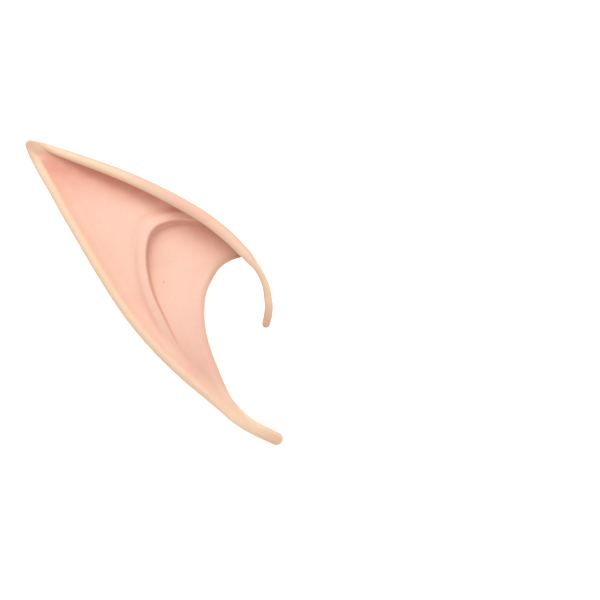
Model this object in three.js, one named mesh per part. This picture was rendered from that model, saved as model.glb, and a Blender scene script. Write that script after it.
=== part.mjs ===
// A pointed costume ear that slips over the wearer's own ear, cast in one piece in soft latex.
// A painted front wall lies between two rolled rims, and a plain back wall closes the pocket
// behind it. The pocket opens at the concave edge. Past that mouth the upper rim runs on as a
// slim hook that goes round the front of the wearer's ear, and the lower rim as a flat tail
// that follows the lobe. The ear lies on its back, with the front upwards.
import * as THREE from "three";
import { mergeVertices } from "three/addons/utils/BufferGeometryUtils.js";

// Driving sizes, in millimetres
const EAR_LENGTH = 120; // from the point to the end of the lower tail
const EAR_WIDTH = 42; // unit for places across the ear, near its greatest width
const EAR_DEPTH = 19; // from the flat of the back to the crest of the upper rim
const WALL = 1.6; // latex thickness of the front, the sides and the back
const UPPER_RIM = 3.6; // width of the rolled upper rim
const LOWER_RIM = 2.9; // width of the rolled lower rim
const SWEEP_WIDTH = 3.2; // width of the hollow by which the front wall rises to the lower rim
const UNDERCUT = 1.0; // how far the front wall passes under the upper rim
const BACK_ROUND = 7.5; // how far the sides turn inwards before they reach the flat of the back
const FOLD_WIDTH = 3.6; // width of the raised fold on the front wall, with its outer slope
const FOLD_SLOPE = 1.8; // width of that outer slope
const FOLD_RISE = 0.8; // how far the fold stands above the wall outside it
const BOWL_DROP = 2.3; // how far the bowl inside the fold lies below the wall outside it
const BOWL_STEP = 2.0; // width of the slope from the fold down into the bowl
const LIP_ROLL = 1.1; // how far the front wall turns down at the mouth
const LIP_ROLL_WIDTH = 2.6; // width of that turn
const LIP_ROUND = 0.5; // how far the lips' edges are rounded
const LIP_INSET = 0.6; // how far the lips' inner edges lie behind their outer ones
const LIP_ROWS = 2.5; // rows of the mouth's table over which the lips grow to that
const BACK_LIFT_WIDTH = 9; // width of the strip by the mouth where the back wall lifts
const HOOK_THICKNESS = 2.4; // through the hook, from front to back
const TAIL_THICKNESS = 3.3; // through the tail, from front to back
const TIP_REACH = 0.8; // how far the solid point stands out past the first section
const POCKET_TIP_REACH = 2.5; // how far the pocket's point stands out past its first section
const LEAN = THREE.MathUtils.degToRad(-49.05); // slope of the ear's length as it lies

// Counts of facets
const POINT_STEPS = 2; // for each of the first rows of the upper rim's table
const FOLD_STEPS = 5; // for each of its other rows, where the fold is
const ARCH_STEPS = 4; // for each of the first rows of the mouth's table
const MOUTH_STEPS = 2; // for each of its other rows
const LIMB_STEPS = 2; // for each row of the hook's and the tail's tables
const FLOOR_STEPS = 26; // across the front wall, from rim to rim or from rim to lip
const SIDE_STEPS = 5; // from a rim's outline round to the flat of the back
const FLAT_STEPS = 5; // across the flat of the back
const POCKET_SIDE_STEPS = 4; // the same two inside the pocket
const POCKET_FLAT_STEPS = 5;
const SEAM_STEP = SIDE_STEPS + FLAT_STEPS + 3; // where the hook parts from the mouth, on the back
const RIM_STEPS = 5; // over a rolled rim
const BLEND_ROWS = 2; // rows over which a limb takes on its own shape
const CAP_ANGLES = [35, 65].map(THREE.MathUtils.degToRad); // rings of a limb's rounded end

// The tables hold a row for each section. Places along the ear are shares of EAR_LENGTH from
// the point, places across it (out) shares of EAR_WIDTH, positive towards the upper rim, and
// heights shares of EAR_DEPTH above the flat of the back.

// The lower rim, from the point to the tail's end: its outline, its crest, and the groove
// between it and the front wall.
const lowerRim = [
  { along: 0.004, out: -0.01, crest: 0.33, groove: 0.33 },
  { along: 0.025, out: -0.034, crest: 0.37, groove: 0.365 },
  { along: 0.048, out: -0.052, crest: 0.41, groove: 0.36 },
  { along: 0.088, out: -0.077, crest: 0.47, groove: 0.365 },
  { along: 0.137, out: -0.102, crest: 0.53, groove: 0.4 },
  { along: 0.188, out: -0.133, crest: 0.58, groove: 0.43 },
  { along: 0.239, out: -0.161, crest: 0.63, groove: 0.47 },
  { along: 0.289, out: -0.187, crest: 0.67, groove: 0.51 },
  { along: 0.335, out: -0.211, crest: 0.7, groove: 0.54 },
  { along: 0.38, out: -0.233, crest: 0.725, groove: 0.565 },
  { along: 0.427, out: -0.254, crest: 0.74, groove: 0.585 },
  { along: 0.472, out: -0.271, crest: 0.75, groove: 0.595 },
  { along: 0.517, out: -0.282, crest: 0.755, groove: 0.6 },
  { along: 0.562, out: -0.287, crest: 0.745, groove: 0.595 },
  { along: 0.607, out: -0.286, crest: 0.72, groove: 0.58 },
  { along: 0.654, out: -0.279, crest: 0.68, groove: 0.555 },
  { along: 0.702, out: -0.266, crest: 0.63, groove: 0.515 },
  { along: 0.752, out: -0.246, crest: 0.55, groove: 0.455 },
  { along: 0.8, out: -0.224, crest: 0.46, groove: 0.39 },
  { along: 0.841, out: -0.206, crest: 0.38, groove: 0.33 },
  { along: 0.874, out: -0.194, crest: 0.33, groove: 0.28 },
  { along: 0.909, out: -0.172, crest: 0.29, groove: 0.25 },
  { along: 0.945, out: -0.134, crest: 0.25, groove: 0.22 },
  { along: 0.99, out: -0.075, crest: 0.225, groove: 0.2 },
];

// The upper rim, from the point to the root of the hook: its outline, its width as a share
// of UPPER_RIM, its crest, the foot of the front wall under it, how far that wall swells
// half-way across, and the height of the back, which lifts off the surface at the point.
const upperRim = [
  { along: 0.004, out: 0.04, rim: 0.4, crest: 0.34, foot: 0.34, swell: 0, back: 0.13 },
  { along: 0.03, out: 0.098, rim: 0.55, crest: 0.4, foot: 0.39, swell: 0, back: 0.1 },
  { along: 0.061, out: 0.151, rim: 0.67, crest: 0.47, foot: 0.375, swell: 0, back: 0.075 },
  { along: 0.119, out: 0.251, rim: 0.79, crest: 0.59, foot: 0.375, swell: 0.01, back: 0.04 },
  { along: 0.194, out: 0.373, rim: 0.88, crest: 0.7, foot: 0.41, swell: 0.02, back: 0.015 },
  { along: 0.27, out: 0.482, rim: 0.95, crest: 0.81, foot: 0.46, swell: 0.04, back: 0 },
  { along: 0.351, out: 0.58, rim: 1, crest: 0.9, foot: 0.52, swell: 0.06, back: 0 },
  { along: 0.434, out: 0.661, rim: 1, crest: 0.96, foot: 0.58, swell: 0.07, back: 0 },
  { along: 0.51, out: 0.703, rim: 0.97, crest: 1, foot: 0.635, swell: 0.075, back: 0 },
  { along: 0.577, out: 0.715, rim: 0.9, crest: 0.985, foot: 0.66, swell: 0.075, back: 0 },
];

// The mouth, from the root of the hook to the root of the tail: the front wall's edge, its
// height before the bowl and the roll lower it, the wall's swell, how far the edge of the
// back wall stays inside that edge, as a share of EAR_WIDTH, and how far it lifts.
const mouth = [
  { along: 0.578, out: 0.638, foot: 0.66, swell: 0.075, backInset: 0, backLift: 0.24 },
  { along: 0.568, out: 0.556, foot: 0.67, swell: 0.075, backInset: 0.03, backLift: 0.15 },
  { along: 0.567, out: 0.465, foot: 0.68, swell: 0.07, backInset: 0.055, backLift: 0.07 },
  { along: 0.577, out: 0.37, foot: 0.685, swell: 0.065, backInset: 0.065, backLift: 0.02 },
  { along: 0.594, out: 0.272, foot: 0.68, swell: 0.06, backInset: 0.065, backLift: 0 },
  { along: 0.623, out: 0.185, foot: 0.665, swell: 0.05, backInset: 0.065, backLift: 0 },
  { along: 0.659, out: 0.108, foot: 0.635, swell: 0.04, backInset: 0.06, backLift: 0 },
  { along: 0.699, out: 0.05, foot: 0.58, swell: 0.03, backInset: 0.055, backLift: 0 },
  { along: 0.75, out: -0.005, foot: 0.5, swell: 0.015, backInset: 0.045, backLift: 0.01 },
  { along: 0.798, out: -0.051, foot: 0.415, swell: 0.005, backInset: 0.03, backLift: 0.03 },
  { along: 0.841, out: -0.086, foot: 0.34, swell: 0, backInset: 0, backLift: 0.07 },
];

// The tail's upper outline, from the mouth's last row to its end. Its lower outline is the
// lower rim's, row for row.
const tail = [
  { along: 0.841, out: -0.086 },
  { along: 0.874, out: -0.084 },
  { along: 0.909, out: -0.063 },
  { along: 0.945, out: -0.024 },
  { along: 0.976, out: 0.012 },
];

// The hook's centre line, from its root in the upper rim to its end, its height, and its
// width as a share of UPPER_RIM.
const hook = [
  { along: 0.576, out: 0.668, height: 0.91, width: 1.02 },
  { along: 0.604, out: 0.675, height: 0.885, width: 0.74 },
  { along: 0.627, out: 0.672, height: 0.845, width: 0.6 },
  { along: 0.651, out: 0.658, height: 0.795, width: 0.57 },
  { along: 0.678, out: 0.629, height: 0.735, width: 0.62 },
  { along: 0.701, out: 0.588, height: 0.68, width: 0.68 },
  { along: 0.719, out: 0.551, height: 0.64, width: 0.7 },
  { along: 0.735, out: 0.501, height: 0.605, width: 0.72 },
  { along: 0.746, out: 0.457, height: 0.585, width: 0.66 },
];

// The inner edge of the raised fold, from under the upper rim round the head of the bowl and down
// beside the lower rim, where its rise fades.
const fold = [
  { along: 0.455, out: 0.66, rise: 1 },
  { along: 0.428, out: 0.556, rise: 1 },
  { along: 0.4, out: 0.472, rise: 1 },
  { along: 0.385, out: 0.395, rise: 1 },
  { along: 0.378, out: 0.315, rise: 1 },
  { along: 0.385, out: 0.235, rise: 1 },
  { along: 0.408, out: 0.15, rise: 1 },
  { along: 0.449, out: 0.056, rise: 0.95 },
  { along: 0.505, out: -0.026, rise: 0.85 },
  { along: 0.573, out: -0.083, rise: 0.7 },
  { along: 0.64, out: -0.135, rise: 0.35 },
  { along: 0.72, out: -0.175, rise: 0 },
];

const RIM_END = upperRim.length - 1; // the section at the hook's root
const MOUTH_END = RIM_END + mouth.length - 1; // the section at the tail's root
const FOLD_START = 4; // the section from which the steps are short
const ARCH_END = RIM_END + 3; // the section from which they are longer again
const POCKET_START = 3; // the section where the hollow behind the front wall begins

const smooth = (x) => THREE.MathUtils.smoothstep(x, 0, 1);
const { clamp, lerp } = THREE.MathUtils;

// A row of a table at any place t between its rows, with every column on a smooth curve.
function rowAt(table, t) {
  const last = table.length - 1;
  const start = clamp(Math.floor(t), 0, last - 1);
  const f = t - start;
  const [p, q, r, s] = [-1, 0, 1, 2].map((k) => table[clamp(start + k, 0, last)]);
  const row = {};
  for (const column of Object.keys(q)) {
    const [a, b, c, d] = [p, q, r, s].map((each) => each[column]);
    const bend = (2 * a - 5 * b + 4 * c - d) * f * f + (3 * b - a - 3 * c + d) * f * f * f;
    row[column] = b + ((c - a) * f + bend) / 2;
  }
  return row;
}

// The place of a table's row in plan: x along the ear and y across it.
function placeAt(table, t) {
  const row = rowAt(table, t);
  return new THREE.Vector3(row.along * EAR_LENGTH, row.out * EAR_WIDTH, 0);
}

// The unit vector to the left of a table's line at t, as the line runs.
function leftOf(table, t) {
  const reach = 0.25;
  const run = placeAt(table, Math.min(t + reach, table.length - 1));
  run.sub(placeAt(table, Math.max(t - reach, 0))).normalize();
  return new THREE.Vector3(-run.y, run.x, 0);
}

const shifted = (place, direction, distance, z) =>
  place.clone().addScaledVector(direction, distance).setZ(z);

const between = (from, to, cells) =>
  Array.from({ length: cells - 1 }, (_, k) => from.clone().lerp(to, (k + 1) / cells));

// The fold's crest as short straight pieces
const crestLine = [];
const crestStep = 0.25;
for (let t = 0; t < fold.length; t += crestStep) {
  crestLine.push({ place: placeAt(fold, t), rise: clamp(rowAt(fold, t).rise, 0, 1) });
}

// How far a place lies from the fold's crest, positive on the bowl's side, and the fold's
// rise there.
function nearFold(point) {
  let nearest = { gap: Infinity, rise: 0 };
  for (let k = 0; k + 1 < crestLine.length; k++) {
    const [from, to] = [crestLine[k], crestLine[k + 1]];
    const piece = to.place.clone().sub(from.place);
    const offset = new THREE.Vector3(point.x - from.place.x, point.y - from.place.y, 0);
    const share = clamp(offset.dot(piece) / piece.lengthSq(), 0, 1);
    const gap = offset.distanceTo(piece.clone().multiplyScalar(share));
    if (gap >= Math.abs(nearest.gap)) continue;
    const side = Math.sign(piece.x * offset.y - piece.y * offset.x);
    nearest = { gap: side * gap, rise: lerp(from.rise, to.rise, share) };
  }
  return nearest;
}

// The bowl's depth at a place. It runs out towards the tail, and lead widens its slope.
function bowlAt(point, gap, lead) {
  const fadeStart = 0.47;
  const fadeLength = 0.25;
  const fade = 1 - smooth((point.x / EAR_LENGTH - fadeStart) / fadeLength);
  return BOWL_DROP * fade * smooth((gap + lead) / (BOWL_STEP + lead));
}

// What the fold and the bowl add to the height of the front wall
function reliefAt(point) {
  const { gap, rise } = nearFold(point);
  const raised = gap > 0 ? 1 - smooth(gap / BOWL_STEP) : smooth((FOLD_WIDTH + gap) / FOLD_SLOPE);
  return FOLD_RISE * rise * raised - bowlAt(point, gap, 0);
}

// How far the bowl lowers the pocket's roof, on a wider slope that keeps the wall thick
function sunkAt(point) {
  const lead = 2;
  return bowlAt(point, nearFold(point).gap, lead);
}

// A rolled rim, from the outline over the crest to the inner side
function rimSkin(edge) {
  const radius = edge.rim / 2;
  return Array.from({ length: RIM_STEPS + 1 }, (_, k) => {
    const angle = lerp(Math.PI, edge.turnEnd, k / RIM_STEPS);
    const z = edge.crest - radius * (1 - Math.sin(angle));
    return edge.at({ inwards: radius * (1 + Math.cos(angle)), z });
  });
}

// A side that turns from upright to level, as distances inwards from the outline and heights;
// inset and turn start it further in and further round.
function sideProfile(reach, top, bottom, cells, inset = 0, turn = 0) {
  return Array.from({ length: cells + 1 }, (_, k) => {
    const angle = lerp(turn, Math.PI / 2, k / cells);
    return {
      inwards: inset + (reach - inset) * (1 - Math.cos(angle)),
      z: bottom + (top - bottom) * (1 - Math.sin(angle)),
    };
  });
}

// One edge of the body in a section, with its rim and its heights. Across is the direction of
// the section, and slant how far a section that runs askew to the edge stretches what it cuts.
// The rim's roll ends at turnEnd, where it meets the front wall, and at leastTurn at the least.
function edgeOf({ place, inwards, other, fullRim, rimShare, leastTurn, crest = 0, level }) {
  const mostAskew = 0.7;
  const sideShare = 0.42;
  const width = place.distanceTo(other);
  const across = other.clone().sub(place).normalize();
  const slant = 1 / Math.max(across.dot(inwards), mostAskew);
  const rim = Math.min(fullRim, (rimShare * width) / slant);
  const base = crest * EAR_DEPTH - rim / 2;
  const meeting = rim > 0 ? (level * EAR_DEPTH - base) / (rim / 2) : 0;
  return {
    at: ({ inwards: distance, z }) => shifted(place, inwards, distance, z),
    sideAt: ({ inwards: distance, z }) => shifted(place, across, distance, z),
    rim,
    turnEnd: Math.asin(clamp(meeting, Math.sin(leastTurn), 1)),
    inset: WALL * slant,
    reach: Math.min(BACK_ROUND * slant, sideShare * width),
    crest: crest * EAR_DEPTH,
    base,
    level: level * EAR_DEPTH,
  };
}

// Both edges of the body at section t, and how far the front wall is undercut and its lip
// rounded there
function edgesAt(t) {
  const inMouth = t > RIM_END;
  const [table, rowT] = inMouth ? [mouth, t - RIM_END] : [upperRim, t];
  const lowRow = rowAt(lowerRim, t);
  const upRow = rowAt(table, rowT);
  const lowPlace = placeAt(lowerRim, t);
  const upPlace = placeAt(table, rowT);
  const low = edgeOf({
    place: lowPlace,
    inwards: leftOf(lowerRim, t),
    other: upPlace,
    fullRim: LOWER_RIM,
    rimShare: 0.32,
    leastTurn: THREE.MathUtils.degToRad(35),
    crest: lowRow.crest,
    level: lowRow.groove,
  });
  const up = edgeOf({
    place: upPlace,
    inwards: leftOf(table, rowT).negate(),
    other: lowPlace,
    fullRim: inMouth ? 0 : UPPER_RIM * upRow.rim,
    rimShare: 0.58,
    leastTurn: 0,
    crest: upRow.crest,
    level: upRow.foot,
  });
  const grooveGap = 0.06;
  const undercutFade = 2;
  const freeWidth = lowPlace.distanceTo(upPlace) - UPPER_RIM - LOWER_RIM;
  const overhang = smooth((up.base - up.level) / UNDERCUT);
  const undercutEnd = smooth((RIM_END - t) / undercutFade);
  const hidden = smooth(freeWidth / UPPER_RIM) * overhang * undercutEnd;
  const opening = inMouth ? smooth(rowT / LIP_ROWS) : 0;
  const lip = opening * smooth(MOUTH_END - t);
  const rimInwards = (edge) => (edge.rim / 2) * (1 + Math.cos(edge.turnEnd));
  const upInwards = inMouth ? LIP_ROUND * lip : rimInwards(up) - UNDERCUT * hidden;
  low.foot = low.at({ inwards: rimInwards(low) + grooveGap * low.rim, z: low.level });
  up.foot = up.at({ inwards: upInwards, z: up.level });
  for (const side of [low, up]) side.roof = side.level - sunkAt(side.foot) - WALL;
  const lipInset = LIP_INSET * opening;
  const backZ = Math.max(upRow.back ?? 0, 0) * EAR_DEPTH;
  return { low, up, row: upRow, inMouth, lip, lipInset, backZ };
}

// The height of the front wall between the two feet, without fold and bowl
function wallAt({ low, up, row }, point) {
  const span = up.foot.clone().sub(low.foot).setZ(0);
  const offset = point.clone().sub(low.foot).setZ(0);
  const share = clamp(offset.dot(span) / span.lengthSq(), 0, 1);
  const swell = row.swell * EAR_DEPTH * Math.sin(Math.PI * share) ** 2;
  return lerp(low.level, up.level, smooth(share)) + swell;
}

// The outer skin of the front, from the lower outline to the upper outline or the lip
function frontSkin(edges) {
  const { low, up, inMouth, lip } = edges;
  const floor = [low.foot.clone(), ...between(low.foot, up.foot, FLOOR_STEPS), up.foot.clone()];
  const wallWidth = Math.hypot(up.foot.x - low.foot.x, up.foot.y - low.foot.y);
  const [sweepShare, sweepDrop] = [0.5, 0.09];
  const sweepWidth = Math.min(SWEEP_WIDTH, sweepShare * wallWidth);
  const lowRim = rimSkin(low);
  const sweepTop = lowRim[RIM_STEPS].z - sweepDrop * low.rim;
  const sweepHeight = Math.max(sweepTop - low.level, 0);
  const fading = (distance, width) => Math.max(1 - distance / width, 0) ** 2;
  for (const point of floor) {
    const toLow = Math.hypot(point.x - low.foot.x, point.y - low.foot.y);
    const toLip = Math.hypot(point.x - up.foot.x, point.y - up.foot.y);
    const sweep = sweepHeight * fading(toLow, sweepWidth);
    const roll = LIP_ROLL * lip * fading(toLip, LIP_ROLL_WIDTH);
    point.z = wallAt(edges, point) + reliefAt(point) + sweep - roll;
  }
  const upRim = inMouth ? [] : rimSkin(up).reverse();
  return [...lowRim, ...floor, ...upRim];
}

// The outer skin of the back in the same sense. In the mouth it ends at the back lip, to
// which the wall lifts over the last stretch.
function backSkin({ low, up, row, inMouth, backZ }) {
  const side = (edge) => sideProfile(edge.reach, edge.base, backZ, SIDE_STEPS).map(edge.sideAt);
  const lowSide = side(low);
  const turn = lowSide[SIDE_STEPS];
  if (!inMouth) {
    const upSide = side(up).reverse();
    return [...lowSide, ...between(turn, upSide[0], FLAT_STEPS), ...upSide];
  }
  const lip = backLip(low, up, row);
  const flat = [...between(turn, lip, SEAM_STEP - SIDE_STEPS), lip];
  flat.forEach((point) => {
    point.z = lipLift(row, Math.hypot(point.x - lip.x, point.y - lip.y)).z;
  });
  return [...lowSide, ...flat];
}

// The edge of the back wall in the mouth, in plan; further moves it on into the pocket.
function backLip(low, up, row, further = 0) {
  const inwards = low.foot.clone().sub(up.foot).setZ(0).normalize();
  return shifted(up.foot, inwards, row.backInset * EAR_WIDTH + further, 0);
}

// The height of the back wall at a distance from its lip, and the factor by which its slope
// stretches the wall's upright thickness
function lipLift(row, distance) {
  const share = Math.max(1 - distance / BACK_LIFT_WIDTH, 0);
  const lift = Math.max(row.backLift, 0) * EAR_DEPTH;
  return { z: lift * share ** 2, stretch: Math.hypot(1, (2 * lift * share) / BACK_LIFT_WIDTH) };
}

// The pocket's lower skin, one wall inside the back, from the corner under the lower rim to
// the corner under the upper rim or to the back lip
function pocketFloor({ low, up, row, inMouth, lipInset, backZ }) {
  const bottom = backZ + WALL;
  const [leastHeadroom, mostHeadroom] = [0.05, 0.9];
  const leastReach = 1.2;
  const side = (edge) => {
    const height = (edge.roof - bottom) / (edge.base - bottom);
    const turn = Math.asin(1 - clamp(height, leastHeadroom, mostHeadroom));
    const reach = Math.max(edge.reach, edge.inset * leastReach);
    const profile = sideProfile(reach, edge.base, bottom, POCKET_SIDE_STEPS, edge.inset, turn);
    return profile.map(edge.sideAt);
  };
  const lowSide = side(low);
  const turn = lowSide[POCKET_SIDE_STEPS];
  if (!inMouth) {
    const upSide = side(up).reverse();
    return [...lowSide, ...between(turn, upSide[0], POCKET_FLAT_STEPS), ...upSide];
  }
  const lip = backLip(low, up, row, lipInset);
  const flat = [...between(turn, lip, POCKET_FLAT_STEPS + POCKET_SIDE_STEPS), lip];
  flat.forEach((point) => {
    const { z, stretch } = lipLift(row, Math.hypot(point.x - lip.x, point.y - lip.y));
    point.z = z + WALL * stretch;
  });
  return [...lowSide, ...flat];
}

// The pocket's upper skin, one wall behind the front, between the same two ends
function pocketRoof(edges, front, floor) {
  const first = floor[0];
  const inwards = edges.low.foot.clone().sub(edges.up.foot).setZ(0).normalize();
  const lipThickness = 1.1 * WALL;
  const last = edges.inMouth
    ? shifted(edges.up.foot, inwards, edges.lipInset, front[front.length - 1].z - lipThickness)
    : floor[floor.length - 1];
  const inner = between(first, last, floor.length - 1);
  for (const point of inner) {
    point.z = wallAt(edges, point) - sunkAt(point) - WALL;
  }
  return [first, ...inner, last];
}

// All the skins of section t. The edge points round off the two lips in the mouth.
function bodySection(t) {
  const edges = edgesAt(t);
  const front = frontSkin(edges);
  const back = backSkin(edges);
  const floor = pocketFloor(edges);
  const roof = pocketRoof(edges, front, floor);
  back[0] = front[0];
  if (!edges.inMouth) back[back.length - 1] = front[front.length - 1];
  const outwards = edges.up.foot.clone().sub(edges.low.foot).setZ(0).normalize();
  const lipPoint = (a, b) => a.clone().lerp(b, 0.5).addScaledVector(outwards, LIP_ROUND * edges.lip);
  const lipIndex = RIM_STEPS + 1 + FLOOR_STEPS;
  const frontEdge = lipPoint(front[lipIndex], roof[roof.length - 1]);
  const backEdge = lipPoint(back[SEAM_STEP], floor[floor.length - 1]);
  return { front, back, floor, roof, frontEdge, backEdge, lipIndex };
}

// One closed skin, as triangles wound to look outwards
const corners = [];

function triangle(...points) {
  for (const { x, y, z } of points) corners.push(x, y, z);
}

// Four corners as two triangles that meet along the shorter diagonal
function quad(a, b, c, d) {
  if (a.distanceTo(c) <= b.distanceTo(d)) {
    triangle(a, b, c);
    triangle(a, c, d);
  } else {
    triangle(a, b, d);
    triangle(b, c, d);
  }
}

// A band of quads between two rings of the same count. Seen from the ring that comes first,
// rings run clockwise over the top.
function joinRings(first, second) {
  first.forEach((point, k) => {
    const next = (k + 1) % first.length;
    quad(point, second[k], second[next], first[next]);
  });
}

// A fan that closes a ring, which comes before or after its pole
function closeRing(ring, pole, poleFirst) {
  ring.forEach((point, k) => {
    const next = ring[(k + 1) % ring.length];
    if (poleFirst) triangle(pole, point, next);
    else triangle(pole, next, point);
  });
}

const middleOf = (ring) =>
  ring.reduce((sum, point) => sum.add(point), new THREE.Vector3()).divideScalar(ring.length);

const innerPart = (points) => points.slice(1, -1);
const outerRing = ({ front, back }) => [...front, ...innerPart(back).reverse()];
const pocketRing = ({ roof, floor }) => [...innerPart(floor), ...roof.slice().reverse()];

// The ring of a section in the mouth: over the front wall, round its lip, into the pocket,
// out over the back wall and round its lip
function mouthRing({ front, back, roof, floor, frontEdge, backEdge, lipIndex }) {
  const inside = [...roof.slice().reverse(), ...floor.slice(1)];
  const under = back.slice(1, SEAM_STEP + 1).reverse();
  return [...front.slice(0, lipIndex + 1), frontEdge, ...inside, backEdge, ...under];
}

const steps = (from, to, perRow) =>
  Array.from({ length: (to - from) * perRow + 1 }, (_, k) => from + k / perRow);

// A limb that grows from a ring on the body. The ring's own shape, carried along the limb,
// gives way to an oval, boxier the lower the power, and the limb ends in a rounded cap.
function growLimb(root, sectionAt, end, power) {
  const centre = middleOf(root);
  const start = sectionAt(0);
  const lengths = root.map((point, k) => point.distanceTo(root[(k + 1) % root.length]));
  const total = lengths.reduce((sum, length) => sum + length);
  const offset = root[0].clone().sub(centre);
  let angle = Math.atan2(offset.z, offset.dot(start.left));
  const angles = lengths.map((length) => {
    const here = angle;
    angle -= (2 * Math.PI * length) / total;
    return here;
  });
  const oval = (value) => Math.sign(value) * Math.abs(value) ** power;
  const ringAt = (t, size, shift) => {
    const section = sectionAt(t);
    const middle = section.centre.clone().addScaledVector(section.run, shift);
    const blend = smooth(t / BLEND_ROWS);
    return root.map((point, k) => {
      const carried = point.clone().add(section.centre).sub(start.centre);
      const across = (size * section.width * oval(Math.cos(angles[k]))) / 2;
      const up = (size * section.thickness * oval(Math.sin(angles[k]))) / 2;
      const target = shifted(middle, section.left, across, middle.z + up);
      return carried.lerp(target, blend);
    });
  };
  const last = sectionAt(end);
  const reach = last.width / 2;
  const rings = steps(0, end, LIMB_STEPS).map((t) => ringAt(t, 1, 0));
  rings[0] = root;
  for (const cap of CAP_ANGLES) rings.push(ringAt(end, Math.cos(cap), reach * Math.sin(cap)));
  rings.slice(1).forEach((ring, k) => joinRings(rings[k], ring));
  closeRing(rings[rings.length - 1], last.centre.clone().addScaledVector(last.run, reach), false);
}

// The hook's section at t
function hookSection(t) {
  const row = rowAt(hook, t);
  const left = leftOf(hook, t);
  return {
    centre: placeAt(hook, t).setZ(row.height * EAR_DEPTH),
    left,
    run: new THREE.Vector3(left.y, -left.x, 0),
    width: row.width * UPPER_RIM,
    thickness: HOOK_THICKNESS,
  };
}

// The tail's section at t, between the lower rim's outline and its own upper one
function tailSection(t) {
  const lowEdge = placeAt(lowerRim, MOUTH_END + t);
  const upEdge = placeAt(tail, t);
  const left = upEdge.clone().sub(lowEdge).normalize();
  const crest = rowAt(lowerRim, MOUTH_END + t).crest * EAR_DEPTH;
  return {
    centre: lowEdge.clone().lerp(upEdge, 0.5).setZ(crest - TAIL_THICKNESS / 2),
    left,
    run: new THREE.Vector3(left.y, -left.x, 0),
    width: lowEdge.distanceTo(upEdge),
    thickness: TAIL_THICKNESS,
  };
}

// The body from the point to the hook's root, and the pocket inside it
function buildRimmedPart(sections) {
  const poleOf = (ring, reach) => middleOf(ring).add(new THREE.Vector3(-reach, 0, 0));
  const tip = outerRing(sections[0]);
  closeRing(tip, poleOf(tip, TIP_REACH), true);
  sections.slice(1).forEach((section, k) => joinRings(outerRing(sections[k]), outerRing(section)));
  const hollow = sections.slice(POCKET_START * POINT_STEPS);
  const pocketTip = pocketRing(hollow[0]);
  closeRing(pocketTip, poleOf(pocketTip, POCKET_TIP_REACH), true);
  hollow.slice(1).forEach((section, k) => joinRings(pocketRing(hollow[k]), pocketRing(section)));
}

// The web that closes the pocket's lower end, where the tail begins
function buildWeb({ front, back, roof, floor, frontEdge, backEdge, lipIndex }) {
  const last = roof.length - 1;
  triangle(roof[0], roof[1], floor[1]);
  for (let k = 1; k < last; k++) quad(roof[k], roof[k + 1], floor[k + 1], floor[k]);
  quad(roof[last], frontEdge, backEdge, floor[last]);
  quad(frontEdge, front[lipIndex], back[SEAM_STEP], backEdge);
}

function buildSkin() {
  const rimmed = [
    ...steps(0, FOLD_START, POINT_STEPS),
    ...steps(FOLD_START, RIM_END, FOLD_STEPS).slice(1),
  ].map(bodySection);
  buildRimmedPart(rimmed);
  const arch = rimmed[rimmed.length - 1];
  const open = [
    ...steps(RIM_END, ARCH_END, ARCH_STEPS),
    ...steps(ARCH_END, MOUTH_END, MOUTH_STEPS).slice(1),
  ].map(bodySection);
  open[0] = arch;
  open.slice(1).forEach((section, k) => joinRings(mouthRing(open[k]), mouthRing(section)));
  const end = open[open.length - 1];
  buildWeb(end);
  const hookRoot = [
    ...arch.front.slice(arch.lipIndex),
    ...arch.back.slice(SEAM_STEP, -1).reverse(),
    arch.backEdge,
    arch.floor[arch.floor.length - 1],
    arch.frontEdge,
  ];
  const [round, boxy] = [1, 0.7];
  growLimb(hookRoot, hookSection, hook.length - 1, round);
  const tailRoot = [
    ...end.front.slice(0, end.lipIndex + 1),
    ...end.back.slice(1, SEAM_STEP + 1).reverse(),
  ];
  growLimb(tailRoot, tailSection, tail.length - 1, boxy);
}

function buildEar() {
  buildSkin();
  const loose = new THREE.BufferGeometry();
  loose.setAttribute("position", new THREE.Float32BufferAttribute(corners, 3));
  const geometry = mergeVertices(loose);
  geometry.computeVertexNormals();
  const latex = new THREE.MeshStandardMaterial({ color: 0xf0c8ae, roughness: 0.6, metalness: 0 });
  const mesh = new THREE.Mesh(geometry, latex);
  mesh.name = "elf_ear";
  mesh.rotation.z = LEAN;
  return mesh;
}

const ear = new THREE.Group();
const shell = buildEar();
ear.add(shell);

// The origin lies under the middle of the ear, on the surface where it rests.
const bounds = new THREE.Box3().setFromObject(ear, true);
const middle = bounds.getCenter(new THREE.Vector3());
shell.position.set(-middle.x, -middle.y, -bounds.min.z);

export default ear;
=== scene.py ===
"""A pointed costume ear of soft latex, lying on a pale floor with its painted front upwards."""
import math
from types import SimpleNamespace

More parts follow.
